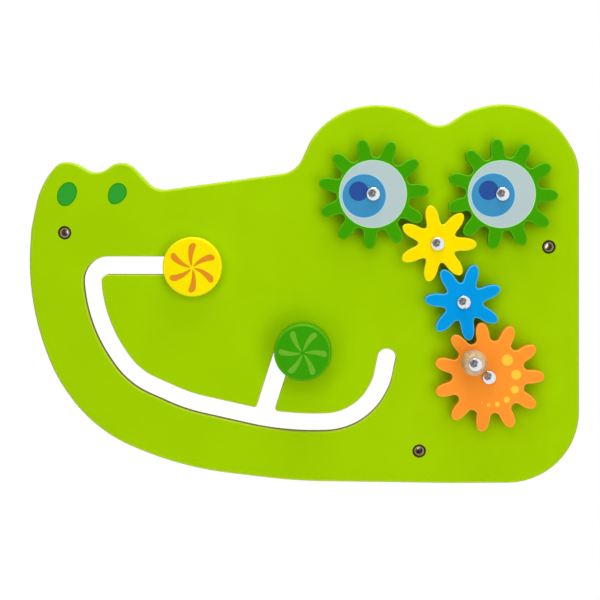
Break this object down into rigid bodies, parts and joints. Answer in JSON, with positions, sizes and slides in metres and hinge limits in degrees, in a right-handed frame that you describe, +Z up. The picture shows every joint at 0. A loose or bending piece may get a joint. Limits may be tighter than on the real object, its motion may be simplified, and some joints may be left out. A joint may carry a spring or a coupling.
{
  "type": "gear activity wall panel",
  "caption": "Wooden wall panel cut as a crocodile's head, with meshed toothed wheels that a crank knob turns and two discs that slide in a smile-shaped slot.",
  "frame": {"origin": "on the plane of the wall that the feet stand against, behind the middle of the panel", "axes": "+X right as seen from the front, +Z up, +Y into the wall; the panel faces -Y"},
  "size_m": [0.5016, 0.0779, 0.3456],
  "materials": {
    "lime_lacquer": "satin lime-green lacquer on fibreboard",
    "leaf_lacquer": "satin leaf-green lacquer on fibreboard",
    "yellow_lacquer": "satin yellow lacquer on fibreboard",
    "blue_lacquer": "satin blue lacquer on fibreboard",
    "orange_lacquer": "satin orange lacquer on fibreboard",
    "beech": "sanded natural beech",
    "chrome": "polished",
    "steel": "bright zinc"
  },
  "bodies": {
    "panel": {"panel": "lime_lacquer", "snout_post": "beech", "brow_post": "beech", "jaw_post": "beech", "left_eye_axle_pin": "steel", "left_eye_front_cap": "chrome", "left_eye_spacer": "beech", "left_eye_back_washer": "steel", "left_eye_back_cap": "chrome", "right_eye_axle_pin": "steel", "right_eye_front_cap": "chrome", "right_eye_spacer": "beech", "right_eye_back_washer": "steel", "right_eye_back_cap": "chrome", "yellow_axle_pin": "steel", "yellow_front_cap": "chrome", "yellow_spacer": "beech", "yellow_back_washer": "steel", "yellow_back_cap": "chrome", "blue_axle_pin": "steel", "blue_front_cap": "chrome", "blue_spacer": "beech", "blue_back_washer": "steel", "blue_back_cap": "chrome", "orange_axle_pin": "steel", "orange_front_cap": "chrome", "orange_spacer": "beech", "orange_back_washer": "steel", "orange_back_cap": "chrome"},
    "left_eye_wheel": {"left_eye_gear": "leaf_lacquer"},
    "right_eye_wheel": {"right_eye_gear": "leaf_lacquer"},
    "yellow_wheel": {"yellow_gear": "yellow_lacquer"},
    "blue_wheel": {"blue_gear": "blue_lacquer"},
    "crank_wheel": {"orange_gear": "orange_lacquer", "crank_pin": "steel", "crank_washer": "steel", "crank_cap": "chrome"},
    "crank_handle": {"crank_knob": "beech"},
    "yellow_slider": {"yellow_slider_guide_disc": "beech"},
    "yellow_knob": {"yellow_slider_disc": "yellow_lacquer", "yellow_slider_spindle": "beech", "yellow_slider_washer": "steel", "yellow_slider_screw": "steel"},
    "green_slider": {"green_slider_guide_disc": "beech"},
    "green_knob": {"green_slider_disc": "leaf_lacquer", "green_slider_spindle": "beech", "green_slider_washer": "steel", "green_slider_screw": "steel"}
  },
  "joints": [
    {"name": "crank_spin", "type": "hinge", "parent": "panel", "child": "crank_wheel", "pos_m": [0.16738, -0.0407, -0.07326], "axis": [0, -1, 0], "continuous": true},
    {"name": "crank_knob_spin", "type": "hinge", "parent": "crank_wheel", "child": "crank_handle", "pos_m": [0.15263, -0.06, -0.05831], "axis": [0, -1, 0], "continuous": true},
    {"name": "blue_spin", "type": "hinge", "parent": "panel", "child": "blue_wheel", "pos_m": [0.14427, -0.0407, -0.00538], "axis": [0, -1, 0], "continuous": true},
    {"name": "yellow_spin", "type": "hinge", "parent": "panel", "child": "yellow_wheel", "pos_m": [0.12048, -0.0407, 0.0473], "axis": [0, -1, 0], "continuous": true},
    {"name": "left_eye_spin", "type": "hinge", "parent": "panel", "child": "left_eye_wheel", "pos_m": [0.06259, -0.0407, 0.09204], "axis": [0, -1, 0], "continuous": true},
    {"name": "right_eye_spin", "type": "hinge", "parent": "panel", "child": "right_eye_wheel", "pos_m": [0.17837, -0.0407, 0.09204], "axis": [0, -1, 0], "continuous": true},
    {"name": "yellow_slide", "type": "slide", "parent": "panel", "child": "yellow_slider", "axis": [-1, 0, 0], "range_m": [-0.007, 0.077]},
    {"name": "yellow_knob_spin", "type": "hinge", "parent": "yellow_slider", "child": "yellow_knob", "pos_m": [-0.101, -0.0376, 0.02579], "axis": [0, -1, 0], "continuous": true},
    {"name": "green_slide", "type": "slide", "parent": "panel", "child": "green_slider", "axis": [-1, 0, 0], "range_m": [0, 0.012]},
    {"name": "green_knob_spin", "type": "hinge", "parent": "green_slider", "child": "green_knob", "pos_m": [-0.0006, -0.0446, -0.05028], "axis": [0, -1, 0], "continuous": true}
  ],
  "couplings": [
    {"joint": "blue_spin", "follows": "crank_spin", "ratio": -1.5714},
    {"joint": "yellow_spin", "follows": "crank_spin", "ratio": 1.5714},
    {"joint": "left_eye_spin", "follows": "crank_spin", "ratio": -1},
    {"joint": "right_eye_spin", "follows": "crank_spin", "ratio": -1}
  ]
}
